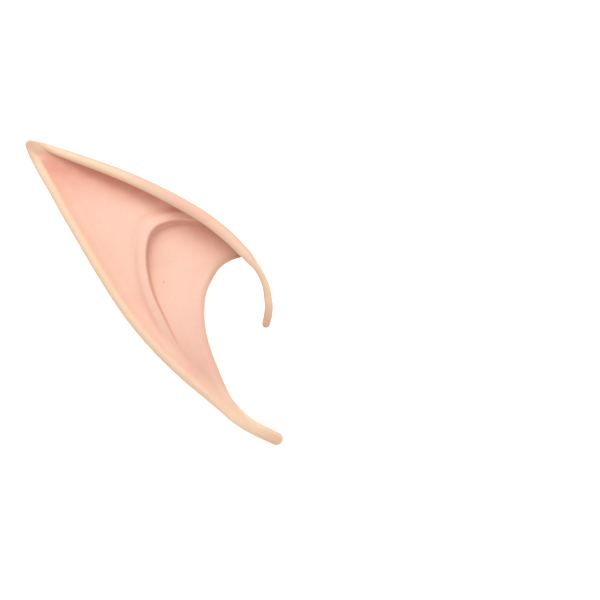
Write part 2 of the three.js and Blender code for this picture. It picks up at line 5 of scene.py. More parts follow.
import bpy
import numpy as np
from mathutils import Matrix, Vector


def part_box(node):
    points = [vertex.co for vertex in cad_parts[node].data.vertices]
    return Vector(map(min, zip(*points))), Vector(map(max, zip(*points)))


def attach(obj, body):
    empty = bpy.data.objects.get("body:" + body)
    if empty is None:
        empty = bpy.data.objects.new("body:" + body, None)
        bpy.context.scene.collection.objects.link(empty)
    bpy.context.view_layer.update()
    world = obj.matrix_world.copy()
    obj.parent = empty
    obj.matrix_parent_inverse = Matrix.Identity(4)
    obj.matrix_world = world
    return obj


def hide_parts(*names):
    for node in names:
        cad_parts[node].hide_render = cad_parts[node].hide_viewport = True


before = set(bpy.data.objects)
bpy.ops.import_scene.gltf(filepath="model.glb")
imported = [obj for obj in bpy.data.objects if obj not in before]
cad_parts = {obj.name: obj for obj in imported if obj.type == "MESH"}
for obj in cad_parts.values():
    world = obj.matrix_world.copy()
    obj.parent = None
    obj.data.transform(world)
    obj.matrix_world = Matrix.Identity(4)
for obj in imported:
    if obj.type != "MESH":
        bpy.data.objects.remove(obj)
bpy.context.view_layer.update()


# The outline and the rims. The ear is slush-cast in one piece in a plaster mould, so rims, walls,
# hook and tail are one skin of soft latex. Sizes are in millimetres, and tables hold shares of
# them: along from the point, out across the ear towards the upper rim, heights above the back.
EAR_LENGTH = 120
EAR_WIDTH = 42
EAR_DEPTH = 19
WALL = 1.6
UPPER_RIM = 3.6
LOWER_RIM = 2.9
LOW_RIM_SHARE = 0.32
UP_RIM_SHARE = 0.58
LOW_RIM_TURN = math.radians(35)
UNDERCUT = 1.0
UNDERCUT_FADE = 2
GROOVE_GAP = 0.06
BACK_ROUND = 7.5

# along, out, crest, groove beside the front wall
LOWER_RIM_LINE = (
    (0.004, -0.01, 0.33, 0.33),
    (0.025, -0.034, 0.37, 0.365),
    (0.048, -0.052, 0.41, 0.36),
    (0.088, -0.077, 0.47, 0.365),
    (0.137, -0.102, 0.53, 0.4),
    (0.188, -0.133, 0.58, 0.43),
    (0.239, -0.161, 0.63, 0.47),
    (0.289, -0.187, 0.67, 0.51),
    (0.335, -0.211, 0.7, 0.54),
    (0.38, -0.233, 0.725, 0.565),
    (0.427, -0.254, 0.74, 0.585),
    (0.472, -0.271, 0.75, 0.595),
    (0.517, -0.282, 0.755, 0.6),
    (0.562, -0.287, 0.745, 0.595),
    (0.607, -0.286, 0.72, 0.58),
    (0.654, -0.279, 0.68, 0.555),
    (0.702, -0.266, 0.63, 0.515),
    (0.752, -0.246, 0.55, 0.455),
    (0.8, -0.224, 0.46, 0.39),
    (0.841, -0.206, 0.38, 0.33),
    (0.874, -0.194, 0.33, 0.28),
    (0.909, -0.172, 0.29, 0.25),
    (0.945, -0.134, 0.25, 0.22),
    (0.99, -0.075, 0.225, 0.2),
)
# along, out, rim width as a share of UPPER_RIM, crest, foot of the front wall, its swell, back
UPPER_RIM_LINE = (
    (0.004, 0.04, 0.4, 0.34, 0.34, 0, 0.13),
    (0.03, 0.098, 0.55, 0.4, 0.39, 0, 0.1),
    (0.061, 0.151, 0.67, 0.47, 0.375, 0, 0.075),
    (0.119, 0.251, 0.79, 0.59, 0.375, 0.01, 0.04),
    (0.194, 0.373, 0.88, 0.7, 0.41, 0.02, 0.015),
    (0.27, 0.482, 0.95, 0.81, 0.46, 0.04, 0),
    (0.351, 0.58, 1, 0.9, 0.52, 0.06, 0),
    (0.434, 0.661, 1, 0.96, 0.58, 0.07, 0),
    (0.51, 0.703, 0.97, 1, 0.635, 0.075, 0),
    (0.577, 0.715, 0.9, 0.985, 0.66, 0.075, 0),
)
# along, out, foot, swell, how far the back wall's edge stays inside, how far it lifts
MOUTH_LINE = (
    (0.578, 0.638, 0.66, 0.075, 0, 0.24),
    (0.568, 0.556, 0.67, 0.075, 0.03, 0.15),
    (0.567, 0.465, 0.68, 0.07, 0.055, 0.07),
    (0.577, 0.37, 0.685, 0.065, 0.065, 0.02),
    (0.594, 0.272, 0.68, 0.06, 0.065, 0),
    (0.623, 0.185, 0.665, 0.05, 0.065, 0),
    (0.659, 0.108, 0.635, 0.04, 0.06, 0),
    (0.699, 0.05, 0.58, 0.03, 0.055, 0),
    (0.75, -0.005, 0.5, 0.015, 0.045, 0.01),
    (0.798, -0.051, 0.415, 0.005, 0.03, 0.03),
    (0.841, -0.086, 0.34, 0, 0, 0.07),
)
RIM_END = len(UPPER_RIM_LINE) - 1
MOUTH_END = RIM_END + len(MOUTH_LINE) - 1


def smooth(x):
    x = np.clip(x, 0, 1)
    return x * x * (3 - 2 * x)


def row_at(line, t):
    """The row of a table at any place between its rows, every column on a smooth curve."""
    last = len(line) - 1
    start = min(max(int(t), 0), last - 1)
    f = t - start
    p, q, r, s = (np.array(line[min(max(start + k, 0), last)]) for k in (-1, 0, 1, 2))
    bend = (2 * p - 5 * q + 4 * r - s) * f**2 + (3 * q - p - 3 * r + s) * f**3
    return q + ((r - p) * f + bend) / 2


def place_at(line, t):
    along, out = row_at(line, t)[:2]
    return np.array([along * EAR_LENGTH, out * EAR_WIDTH, 0.0])


def unit(vector):
    return vector / np.linalg.norm(vector)


def left_of(line, t):
    """The unit vector to the left of a table's line as it runs."""
    reach = 0.25
    ahead = place_at(line, min(t + reach, len(line) - 1))
    run = unit(ahead - place_at(line, max(t - reach, 0)))
    return np.array([-run[1], run[0], 0.0])


def edge_of(place, inwards, other, full_rim, rim_share, least_turn, crest, level):
    """One edge of the body in a section, with its rim, which rolls as far as turn_end."""
    most_askew = 0.7
    side_share = 0.42
    width = np.linalg.norm(other - place)
    across = unit(other - place)
    slant = 1 / max(across @ inwards, most_askew)
    rim = min(full_rim, rim_share * width / slant)
    base = crest * EAR_DEPTH - rim / 2
    meeting = (level * EAR_DEPTH - base) / (rim / 2) if rim else 0
    return SimpleNamespace(
        place=place,
        inwards=inwards,
        across=across,
        rim=rim,
        turn_end=math.asin(min(max(meeting, math.sin(least_turn)), 1)),
        inset=WALL * slant,
        reach=min(BACK_ROUND * slant, side_share * width),
        crest=crest * EAR_DEPTH,
        base=base,
        level=level * EAR_DEPTH,
    )


def along_direction(place, direction, distances, heights):
    points = place + np.outer(distances, direction)
    points[:, 2] = heights
    return points


# The front wall. It is sculpted like an ear's inner side: a raised fold runs round the head of
# a bowl and down beside the lower rim, with a faint valley outside it. It is the same thin latex
# as the rims, sinks between them, and rolls down at the mouth, where it is trimmed.
FOLD_WIDTH = 3.6
FOLD_SLOPE = 1.8
FOLD_RISE = 0.8
VALLEY_DEPTH = 0.22
VALLEY_WIDTH = 1.5
BOWL_DROP = 2.3
LIP_ROLL = 1.1
LIP_ROLL_WIDTH = 2.6
LIP_ROUND = 0.5
LIP_INSET = 0.6
LIP_THICKNESS = 1.1 * WALL
LIP_ROWS = 2.5
FLOOR_CELLS = 132
RIM_POINTS = 17
SWEEP_WIDTH = 3.2
VALLEY_GAP = 0.3
FOLD_PARTS = 16

# along, out and rise of the fold's inner edge, and the width of the step down into the bowl
FOLD_LINE = (
    (0.455, 0.66, 1, 1.6),
    (0.428, 0.556, 1, 1.6),
    (0.4, 0.472, 1, 1.6),
    (0.385, 0.395, 1, 1.4),
    (0.378, 0.315, 1, 1.1),
    (0.385, 0.235, 1, 0.95),
    (0.408, 0.15, 1, 0.9),
    (0.449, 0.056, 0.95, 0.9),
    (0.505, -0.026, 0.85, 0.95),
    (0.573, -0.083, 0.7, 1),
    (0.64, -0.135, 0.45, 1.2),
    (0.72, -0.175, 0.1, 1.4),
)
fold_rows = np.linspace(0, len(FOLD_LINE) - 1, FOLD_PARTS * (len(FOLD_LINE) - 1) + 1)
fold_places = np.array([place_at(FOLD_LINE, t)[:2] for t in fold_rows])
fold_rises, fold_widths = np.array([row_at(FOLD_LINE, t)[2:] for t in fold_rows]).T


def near_fold(points):
    """How far points lie from the fold's inner edge, positive in the bowl, its rise and step."""
    start, piece = fold_places[:-1], np.diff(fold_places, axis=0)
    offset = points[:, None, :2] - start
    share = np.clip((offset * piece).sum(2) / (piece**2).sum(1), 0, 1)
    gaps = np.linalg.norm(offset - share[:, :, None] * piece, axis=2)
    nearest = gaps.argmin(1)
    each = np.arange(len(points))
    ahead, beside = piece[nearest], offset[each, nearest]
    cross = ahead[:, 0] * beside[:, 1] - ahead[:, 1] * beside[:, 0]
    here = share[each, nearest]
    rise = fold_rises[nearest] + here * np.diff(fold_rises)[nearest]
    step = fold_widths[nearest] + here * np.diff(fold_widths)[nearest]
    return np.sign(cross) * gaps[each, nearest], np.clip(rise, 0, 1), step


def fades(place, start, length):
    """One up to start, and nothing from a length past it."""
    return 1 - smooth((place - start) / length)


def band(place, middle, width):
    """One at the middle, and less and less on both sides of it."""
    return np.exp(-(((place - middle) / width) ** 2))


def bowl_at(points, gap, lead, step):
    """The bowl's depth, which runs out towards the tail."""
    fade_start, fade_length = 0.47, 0.25
    left = fades(points[:, 0] / EAR_LENGTH, fade_start, fade_length)
    return BOWL_DROP * left * smooth((gap + lead) / (step + lead))


def relief_at(points):
    gap, rise, step = near_fold(points)
    outside = smooth((FOLD_WIDTH + gap) / FOLD_SLOPE)
    raised = np.where(gap > 0, 1 - smooth(gap / step), outside)
    valley = VALLEY_DEPTH * band(gap, -FOLD_WIDTH - VALLEY_GAP, VALLEY_WIDTH)
    return rise * (FOLD_RISE * raised - rise * valley) - bowl_at(points, gap, 0, step)


def sunk_at(points):
    """How far the pocket's roof sinks under the bowl, with a softer step."""
    lead, step = 2, 2
    return bowl_at(points, near_fold(points)[0], lead, step)


def edges_at(t):
    """Both edges of the body at section t."""
    in_mouth = t > RIM_END
    line, row_t = (MOUTH_LINE, t - RIM_END) if in_mouth else (UPPER_RIM_LINE, t)
    low_place, up_place = place_at(LOWER_RIM_LINE, t), place_at(line, row_t)
    crest, groove = row_at(LOWER_RIM_LINE, t)[2:]
    if in_mouth:
        foot, swell, back_inset, back_lift = row_at(line, row_t)[2:]
        rim, up_crest, back = 0, 0, 0
    else:
        rim, up_crest, foot, swell, back = row_at(line, row_t)[2:]
        back_inset, back_lift = 0, 0
    low_in, up_in = left_of(LOWER_RIM_LINE, t), -left_of(line, row_t)
    low = edge_of(
        low_place, low_in, up_place, LOWER_RIM, LOW_RIM_SHARE, LOW_RIM_TURN, crest, groove
    )
    up = edge_of(up_place, up_in, low_place, UPPER_RIM * rim, UP_RIM_SHARE, 0, up_crest, foot)
    low_inwards, up_inwards = (edge.rim / 2 * (1 + math.cos(edge.turn_end)) for edge in (low, up))
    free_width = np.linalg.norm(up_place - low_place) - UPPER_RIM - LOWER_RIM
    overhang = smooth((up.base - up.level) / UNDERCUT)
    hidden = smooth(free_width / UPPER_RIM) * overhang * smooth((RIM_END - t) / UNDERCUT_FADE)
    opening = smooth(row_t / LIP_ROWS) if in_mouth else 0.0
    lip = opening * smooth(MOUTH_END - t)
    up_inwards = LIP_ROUND * lip if in_mouth else up_inwards - UNDERCUT * hidden
    low_inwards += GROOVE_GAP * low.rim
    low.foot = along_direction(low_place, low_in, [low_inwards], low.level)[0]
    up.foot = along_direction(up_place, up_in, [up_inwards], up.level)[0]
    for side in (low, up):
        side.roof = side.level - sunk_at(side.foot[None])[0] - WALL
    span = (up.foot - low.foot) * (1, 1, 0)
    return SimpleNamespace(
        t=t, low=low, up=up, in_mouth=in_mouth, lip=lip, swell=swell, span=span,
        lip_inset=LIP_INSET * opening, back_z=max(back, 0) * EAR_DEPTH,
        back_inset=back_inset * EAR_WIDTH, back_lift=max(back_lift, 0) * EAR_DEPTH,
    )


def wall_at(edges, points):
    """The height of the front wall between the two feet, without fold and bowl."""
    span = edges.span
    share = np.clip((points - edges.low.foot) @ span / (span @ span), 0, 1)
    swell = edges.swell * EAR_DEPTH * np.sin(np.pi * share) ** 2
    return edges.low.level + (edges.up.level - edges.low.level) * smooth(share) + swell


def rim_points(edge):
    radius = edge.rim / 2
    angles = np.linspace(math.pi, edge.turn_end, RIM_POINTS)
    heights = edge.crest - radius * (1 - np.sin(angles))
    return along_direction(edge.place, edge.inwards, radius * (1 + np.cos(angles)), heights)


def front_skin(edges):
    """The outer skin of the front, from the lower outline to the upper outline or the lip."""
    shares = np.linspace(0, 1, FLOOR_CELLS + 1)
    floor = edges.low.foot + np.outer(shares, edges.up.foot - edges.low.foot)
    to_lip = np.linalg.norm((floor - edges.up.foot)[:, :2], axis=1)
    roll = LIP_ROLL * edges.lip * np.maximum(1 - to_lip / LIP_ROLL_WIDTH, 0) ** 2
    to_low = np.linalg.norm((floor - edges.low.foot)[:, :2], axis=1)
    low_rim = rim_points(edges.low)
    sweep_share, sweep_drop = 0.5, 0.09
    sweep_width = min(SWEEP_WIDTH, sweep_share * np.linalg.norm(edges.span))
    sweep_height = max(low_rim[-1][2] - sweep_drop * edges.low.rim - edges.low.level, 0)
    sweep = sweep_height * np.maximum(1 - to_low / sweep_width, 0) ** 2
    floor[:, 2] = wall_at(edges, floor) + relief_at(floor) + sweep - roll
    skins = [low_rim, floor]
    if not edges.in_mouth:
        skins.append(rim_points(edges.up)[::-1])
    return np.concatenate(skins)


# The back and the pocket. A plain back wall of the same latex closes the hollow behind the
# front, and the pocket between them opens at the mouth, where the wearer's ear goes in. The
# inside has no detail, because the latex sets there in air.
SIDE_CELLS = 15
FLAT_CELLS = 15
HOOK_SEAM = 39
POCKET_SIDE_CELLS = 8
POCKET_FLAT_CELLS = 14
BACK_LIFT_WIDTH = 9


def side_points(edge, reach, bottom, cells, inset=0.0, turn=0.0):
    """A side that turns from upright to level."""
    angles = np.linspace(turn, math.pi / 2, cells + 1)
    inwards = inset + (reach - inset) * (1 - np.cos(angles))
    heights = bottom + (edge.base - bottom) * (1 - np.sin(angles))
    return along_direction(edge.place, edge.across, inwards, heights)


def between(start, end, cells):
    shares = np.arange(1, cells)[:, None] / cells
    return start + shares * (end - start)


def back_lip(edges, further=0.0):
    lip = edges.up.foot - unit(edges.span) * (edges.back_inset + further)
    return lip * (1, 1, 0)


def lip_lift(edges, points, lip):
    """The back wall's lift near its lip, and how far its slope stretches its thickness."""
    distance = np.linalg.norm((points - lip)[:, :2], axis=1)
    share = np.maximum(1 - distance / BACK_LIFT_WIDTH, 0)
    slope = 2 * edges.back_lift * share / BACK_LIFT_WIDTH
    return edges.back_lift * share**2, np.hypot(1, slope)


def back_skin(edges):
    low_side = side_points(edges.low, edges.low.reach, edges.back_z, SIDE_CELLS)
    if not edges.in_mouth:
        up_side = side_points(edges.up, edges.up.reach, edges.back_z, SIDE_CELLS)[::-1]
        return np.concatenate([low_side, between(low_side[-1], up_side[0], FLAT_CELLS), up_side])
    lip = back_lip(edges)
    flat = np.concatenate([between(low_side[-1], lip, HOOK_SEAM - SIDE_CELLS), [lip]])
    flat[:, 2] = lip_lift(edges, flat, lip)[0]
    return np.concatenate([low_side, flat])


def pocket_side(edge, bottom):
    least_headroom, most_headroom = 0.05, 0.9
    least_reach = 1.2
    height = np.clip((edge.roof - bottom) / (edge.base - bottom), least_headroom, most_headroom)
    reach = max(edge.reach, edge.inset * least_reach)
    return side_points(edge, reach, bottom, POCKET_SIDE_CELLS, edge.inset, math.asin(1 - height))


def pocket_floor(edges):
    bottom = edges.back_z + WALL
    low_side = pocket_side(edges.low, bottom)
    if not edges.in_mouth:
        up_side = pocket_side(edges.up, bottom)[::-1]
        flat = between(low_side[-1], up_side[0], POCKET_FLAT_CELLS)
        return np.concatenate([low_side, flat, up_side])
    lip = back_lip(edges, edges.lip_inset)
    cells = POCKET_FLAT_CELLS + POCKET_SIDE_CELLS
    flat = np.concatenate([between(low_side[-1], lip, cells), [lip]])
    lift, stretch = lip_lift(edges, flat, lip)
    flat[:, 2] = lift + WALL * stretch
    return np.concatenate([low_side, flat])


def pocket_roof(edges, front, floor):
    """The pocket's upper skin without its first point, which is the floor's."""
    last = floor[-1]
    if edges.in_mouth:
        last = edges.up.foot - unit(edges.span) * edges.lip_inset
        last[2] = front[-1][2] - LIP_THICKNESS
    inner = between(floor[0], last, len(floor) - 1)
    inner[:, 2] = wall_at(edges, inner) - sunk_at(inner) - WALL
    return np.concatenate([inner, [last]])


# The paint. Latex comes out of the mould a plain ivory. The front wall is airbrushed pink with
# rose in its hollows, and lips are rubbed tan. Rose is also laid on as painted shade under the
# upper rim, in the bowl below the fold's step, in the valley outside the fold and in the step's
# crease. Tan is also painted shade in that crease, at the lip's arch and on the rims' outer sides,
# and the back's tan is partly painted shade, which darkens the outline. Each point of the skin
# gets four amounts: pink, rose with its painted shade, tan with its painted shade, and bare latex
# as it is inside the pocket.
EDGE_PINK = 0.45
PINK_EDGE = 1.1
# how far the painted shade under the upper rim reaches, in millimetres
RIM_SHADE_REACH = 9.5
# Rose in each hollow. Under the upper rim, in the bowl below the fold's step, in the valley
# outside the fold and in the step's crease it is painted shade; in the groove and near the point
# it is paint.
HOLLOW_ROSE_AND_SHADE = {
    "rim": 1.05,
    "groove": 0.2,
    "point": 0.4,
    "head_shade": 0.25,
    "valley": 0.1,
    "crease_shade": 0.6,
}
# tan laid in the step's crease as painted shade
CREASE_SHADE_TAN = 0.4
LIP_TAN = 0.6
LIP_TAN_WIDTH = 1.5
POINT_TAN = 0.85
POINT_TAN_END = 9.1
BARE_POINT = 3.5
BARE_FADE = 6
# how far the painted shade on the rims' outer sides reaches in from the outline
OUTER_SHADE_END = 0.4
# the back's tan, partly its own tone and partly painted shade that darkens the sides at the
# outline
BACK_TAN_AND_SHADE = 0.45
TRIM_TAN, TRIM_BARE = 0.7, 0.4
MOUTH_PARTS = 20

mouth_rows = np.linspace(0, len(MOUTH_LINE) - 1, MOUTH_PARTS * (len(MOUTH_LINE) - 1) + 1)
mouth_places = np.array([place_at(MOUTH_LINE, t)[:2] for t in mouth_rows])


def near_mouth(points):
    """How far points lie from the mouth's edge, and the row of its table they lie nearest."""
    distances = np.linalg.norm(points[:, None, :2] - mouth_places, axis=2)
    return distances.min(1), mouth_rows[distances.argmin(1)]


def rose_and_shade_of(edges, points, to_low, to_up):
    """How deep points lie in each hollow that holds rose; under the upper rim, in the bowl below
    the fold's step, in the valley and in the step's crease that rose is painted shade.
    """
    along = points[:, 0] / EAR_LENGTH
    gap, rise, step = near_fold(points)
    # where along the ear, in sections, the painted shade under the upper rim narrows, pales and
    # ends, and how much
    narrow_start, narrow_length, narrowing = 5, 2, 0.25
    pale_start, pale_length, paling = 4.5, 2, 0.5
    mouth_length = 2.5
    reach = RIM_SHADE_REACH * (1 + narrowing * fades(edges.t, narrow_start, narrow_length))
    shade = (1 - paling * smooth((edges.t - pale_start) / pale_length)) * band(to_up, 0, reach)
    # the other hollows' places and widths, in millimetres, and their ends as shares of length
    groove_place, groove_width, groove_start, groove_length = 2.6, 3.2, 0.45, 0.2
    point_width = 24
    head_edge, head_start, head_length = 1.0, 2, 9
    head_last, head_fade = 0.42, 0.14
    valley_gap, valley_width = 0.4, 1.2
    crease_place, crease_width = 0.6, 0.4
    groove = band(to_low, groove_place, groove_width)
    head_shade = smooth(gap / head_edge) * fades(gap, head_start, head_length)
    return {
        "rim": shade * fades(edges.t, RIM_END, mouth_length),
        "groove": groove * fades(along, groove_start, groove_length),
        "point": fades(np.linalg.norm(edges.span), 0, point_width),
        "head_shade": head_shade * fades(along, head_last, head_fade),
        "valley": rise * band(gap, -FOLD_WIDTH - valley_gap, valley_width),
        "crease_shade": rise * band(gap / step, crease_place, crease_width),
    }


def lip_tan_and_shade(points):
    """Tan along the mouth's lip, with painted shade that makes it wider and deeper at the arch."""
    arch_start, arch_length, arch_shade = 1.5, 3, 0.35
    low_width, arch_width = 0.65, 0.7
    distance, row = near_mouth(points)
    at_arch = fades(row, arch_start, arch_length)
    width = LIP_TAN_WIDTH * (low_width + arch_width * at_arch)
    return (LIP_TAN + arch_shade * at_arch) * band(distance, 0, width)


def rim_blush(edges, rolled):
    """Pink and rose on the upper rim, on its outer half first and all over it further right."""
    right_start, right_length = 3.5, 3
    wider, more_pink, least_rose, more_rose = 0.8, 0.5, 0.3, 0.05
    hook_start, hook_length, hook_fade = 6.5, 2.5, 0.8
    right = smooth((edges.t - right_start) / right_length)
    fading = 1 - hook_fade * smooth((edges.t - hook_start) / hook_length)
    blushed = smooth(rolled + wider * right) * fading
    return (EDGE_PINK + more_pink * right) * blushed, (least_rose + more_rose * right) * blushed


def front_paint(edges, front):
    """Pink, rose, tan and bare for the points of the front's skin, with rose and tan holding
    painted shade as well.
    """
    paint = np.zeros((len(front), 4))
    low_rim, up_rim = slice(0, RIM_POINTS), slice(len(front) - RIM_POINTS, len(front))
    wall = slice(RIM_POINTS, RIM_POINTS + FLOOR_CELLS + 1)
    points = front[wall]
    to_low = np.linalg.norm((points - edges.low.foot)[:, :2], axis=1)
    to_up = np.linalg.norm((points - edges.up.foot)[:, :2], axis=1)
    hollows = rose_and_shade_of(edges, points, to_low, to_up)
    # rose from every hollow, much of it painted shade
    rose_and_shade = sum(HOLLOW_ROSE_AND_SHADE[name] * depth for name, depth in hollows.items())
    tail_length, tail_ivory = 2.5, 0.75
    tail_end = smooth((edges.t - MOUTH_END + tail_length) / tail_length)
    pink = EDGE_PINK + (1 - EDGE_PINK) * smooth(to_low / PINK_EDGE)
    paint[wall, 0] = pink * (1 - tail_ivory * tail_end)
    paint[wall, 1] = np.clip(rose_and_shade, 0, 1) * (1 - tail_end)
    # tan along the lip with painted shade at its arch, and tan as painted shade in the step's
    # crease
    paint[wall, 2] = lip_tan_and_shade(points) * smooth(MOUTH_END - edges.t) + CREASE_SHADE_TAN * hollows["crease_shade"]
    # rises along the section, inwards on the lower rim and outwards on the upper one
    outline_start = -0.9
    rolled = np.linspace(outline_start, 1, RIM_POINTS)
    paint[low_rim, 0] = EDGE_PINK * smooth(rolled)
    if not edges.in_mouth:
        paint[up_rim, :2] = np.transpose(rim_blush(edges, rolled))
    paint[:, :2] *= smooth((front[:, :1] - BARE_POINT) / BARE_FADE)
    paint[:, 2] += POINT_TAN * fades(front[:, 0], 0, POINT_TAN_END)
    # tan as painted shade on the outer sides of both rims, darkest at the outline
    outer_shade = fades(np.linspace(0, 1, RIM_POINTS), 0, OUTER_SHADE_END)
    paint[low_rim, 2] = np.maximum(paint[low_rim, 2], outer_shade)
    if not edges.in_mouth:
        paint[up_rim, 2] = np.maximum(paint[up_rim, 2], outer_shade[::-1])
    return paint


def plain_paint(count, tan_and_shade=0.0, bare=0.0):
    return np.tile([0.0, 0.0, tan_and_shade, bare], (count, 1))


# The skin of the body. The mould gives one closed skin, outside and inside the pocket, so every
# section's points are laid down once and bands of quads join the sections. Hook and tail grow
# out of the body's own rings, because the casting has no seam.
skin_points, skin_paint, skin_faces = [], [], []


def lay(points, paint):
    """Adds points with their paint and returns their numbers."""
    first = sum(map(len, skin_points))
    skin_points.append(np.array(points, dtype=float))
    skin_paint.append(np.array(paint, dtype=float))
    return list(range(first, first + len(points)))


def body_section(t):
    edges = edges_at(t)
    front, back, floor = front_skin(edges), back_skin(edges), pocket_floor(edges)
    roof = pocket_roof(edges, front, floor)
    paint = front_paint(edges, front)
    lip_index = RIM_POINTS + FLOOR_CELLS
    outwards = unit(edges.span) * LIP_ROUND * edges.lip
    front_edge = (front[lip_index] + roof[-1]) / 2 + outwards
    back_edge = (back[min(HOOK_SEAM, len(back) - 1)] + floor[-1]) / 2 + outwards
    ids = SimpleNamespace(lip_index=lip_index)
    ids.front = lay(front, paint)
    # the back wall's tan is partly its own tone and partly painted shade
    if edges.in_mouth:
        ids.back = [ids.front[0]] + lay(back[1:], plain_paint(len(back) - 1, tan_and_shade=BACK_TAN_AND_SHADE))
    else:
        inner = lay(back[1:-1], plain_paint(len(back) - 2, tan_and_shade=BACK_TAN_AND_SHADE))
        ids.back = [ids.front[0]] + inner + [ids.front[-1]]
    ids.floor = lay(floor, plain_paint(len(floor), bare=1.0))
    if edges.in_mouth:
        ids.roof = [ids.floor[0]] + lay(roof, plain_paint(len(roof), bare=1.0))
    else:
        inner = lay(roof[:-1], plain_paint(len(roof) - 1, bare=1.0))
        ids.roof = [ids.floor[0]] + inner + [ids.floor[-1]]
    trimmed = plain_paint(2, tan_and_shade=TRIM_TAN, bare=TRIM_BARE)
    ids.front_edge, ids.back_edge = lay([front_edge, back_edge], trimmed)
    return ids


def join_rings(first, second):
    """Joins two rings that run clockwise over the top as seen from the first."""
    count = len(first)
    for k in range(count):
        after = (k + 1) % count
        skin_faces.append((first[k], second[k], second[after], first[after]))


def close_ring(ring, pole, pole_first):
    for k, point in enumerate(ring):
        after = ring[(k + 1) % len(ring)]
        skin_faces.append((pole, point, after) if pole_first else (pole, after, point))


def outer_ring(ids):
    return ids.front + ids.back[1:-1][::-1]


def pocket_ring(ids):
    return ids.floor[1:-1] + ids.roof[::-1]


def mouth_ring(ids):
    over = ids.front[: ids.lip_index + 1] + [ids.front_edge]
    inside = ids.roof[::-1] + ids.floor[1:]
    return over + inside + [ids.back_edge] + ids.back[1 : HOOK_SEAM + 1][::-1]


def all_points():
    return np.concatenate(skin_points)


def grow_limb(root, section_at, end, power, steps_per_row, limb_paint, end_tan):
    """A limb that carries its root's ring along, turns it into an oval and rounds its end."""
    blend_rows = 2
    under_tan, under_end = 0.5, 0.6
    end_start, end_length = 0.6, 0.4
    cap_turns = np.radians([15, 30, 45, 60, 75])
    points, paint = all_points()[root], np.concatenate(skin_paint)[root]
    start = section_at(0)
    lengths = np.linalg.norm(np.roll(points, -1, axis=0) - points, axis=1)
    offset = points[0] - points.mean(0)
    first_angle = math.atan2(offset[2], offset @ start.left)
    passed = np.concatenate([[0], np.cumsum(lengths)[:-1]])
    angles = first_angle - 2 * math.pi * passed / lengths.sum()

    def oval(value):
        return np.sign(value) * np.abs(value) ** power

    def ring_at(t, size, shift):
        section = section_at(t)
        blend = smooth(t / blend_rows)
        carried = points + section.centre - start.centre
        target = section.centre + section.run * shift
        target = target + np.outer(size * section.width / 2 * oval(np.cos(angles)), section.left)
        target[:, 2] += size * section.thickness / 2 * oval(np.sin(angles))
        under = fades(np.sin(angles), -under_end, 1)
        painted = np.tile(limb_paint, (len(root), 1))
        painted[:, 2] += under_tan * under + end_tan * smooth((t / end - end_start) / end_length)
        here = carried * (1 - blend) + target * blend
        return lay(here, paint * (1 - blend) + painted * blend)

    ring = root
    for t in np.arange(1, end * steps_per_row + 1) / steps_per_row:
        following = ring_at(t, 1, 0)
        join_rings(ring, following)
        ring = following
    last = section_at(end)
    for cap in cap_turns:
        following = ring_at(end, math.cos(cap), last.width / 2 * math.sin(cap))
        join_rings(ring, following)
        ring = following
    end_paint = np.add(limb_paint, (0, 0, end_tan, 0))
    pole = lay([last.centre + last.run * last.width / 2], [end_paint])[0]
    close_ring(ring, pole, False)


POINT_STEPS, FOLD_STEPS, ARCH_STEPS, MOUTH_STEPS = 10, 24, 15, 8
POCKET_START, FOLD_START, ARCH_END = 3, 4, RIM_END + 3
point_part = np.arange(0, FOLD_START, 1 / POINT_STEPS)
fold_part = np.linspace(FOLD_START, RIM_END, FOLD_STEPS * (RIM_END - FOLD_START) + 1)
rimmed = [body_section(t) for t in (*point_part, *fold_part)]
arch = rimmed[-1]
arch_part = np.linspace(RIM_END, ARCH_END, ARCH_STEPS * (ARCH_END - RIM_END) + 1)[1:]
mouth_part = np.linspace(ARCH_END, MOUTH_END, MOUTH_STEPS * (MOUTH_END - ARCH_END) + 1)[1:]
opened = [arch] + [body_section(t) for t in (*arch_part, *mouth_part)]

tip_reach, pocket_tip_reach = 0.8, 2.5
tip = outer_ring(rimmed[0])
tip_pole = lay([all_points()[tip].mean(0) - (tip_reach, 0, 0)], plain_paint(1))[0]
close_ring(tip, tip_pole, True)
for before, after in zip(rimmed, rimmed[1:]):
    join_rings(outer_ring(before), outer_ring(after))
hollow = rimmed[POCKET_START * POINT_STEPS :]
pocket_tip = pocket_ring(hollow[0])
pocket_pole = all_points()[pocket_tip].mean(0) - (pocket_tip_reach, 0, 0)
close_ring(pocket_tip, lay([pocket_pole], plain_paint(1, bare=1.0))[0], True)
for before, after in zip(hollow, hollow[1:]):
    join_rings(pocket_ring(before), pocket_ring(after))
for before, after in zip(opened, opened[1:]):
    join_rings(mouth_ring(before), mouth_ring(after))

# The pocket's lower end, where the tail begins. There the latex of front and back runs together
# in a small web that closes the pocket.
end = opened[-1]
skin_faces.append((end.roof[0], end.roof[1], end.floor[1]))
for k in range(1, len(end.roof) - 1):
    skin_faces.append((end.roof[k], end.roof[k + 1], end.floor[k + 1], end.floor[k]))
skin_faces.append((end.roof[-1], end.front_edge, end.back_edge, end.floor[-1]))
skin_faces.append((end.front_edge, end.front[end.lip_index], end.back[HOOK_SEAM], end.back_edge))


# The hook, the upper rim's free end, a slim oval of solid latex cast with the rest. It goes round
# the front of the wearer's ear and holds the casting on.
HOOK_THICKNESS = 2.4
HOOK_PAINT = (0, 0, 0.12, 0)
HOOK_END_TAN = 0.75
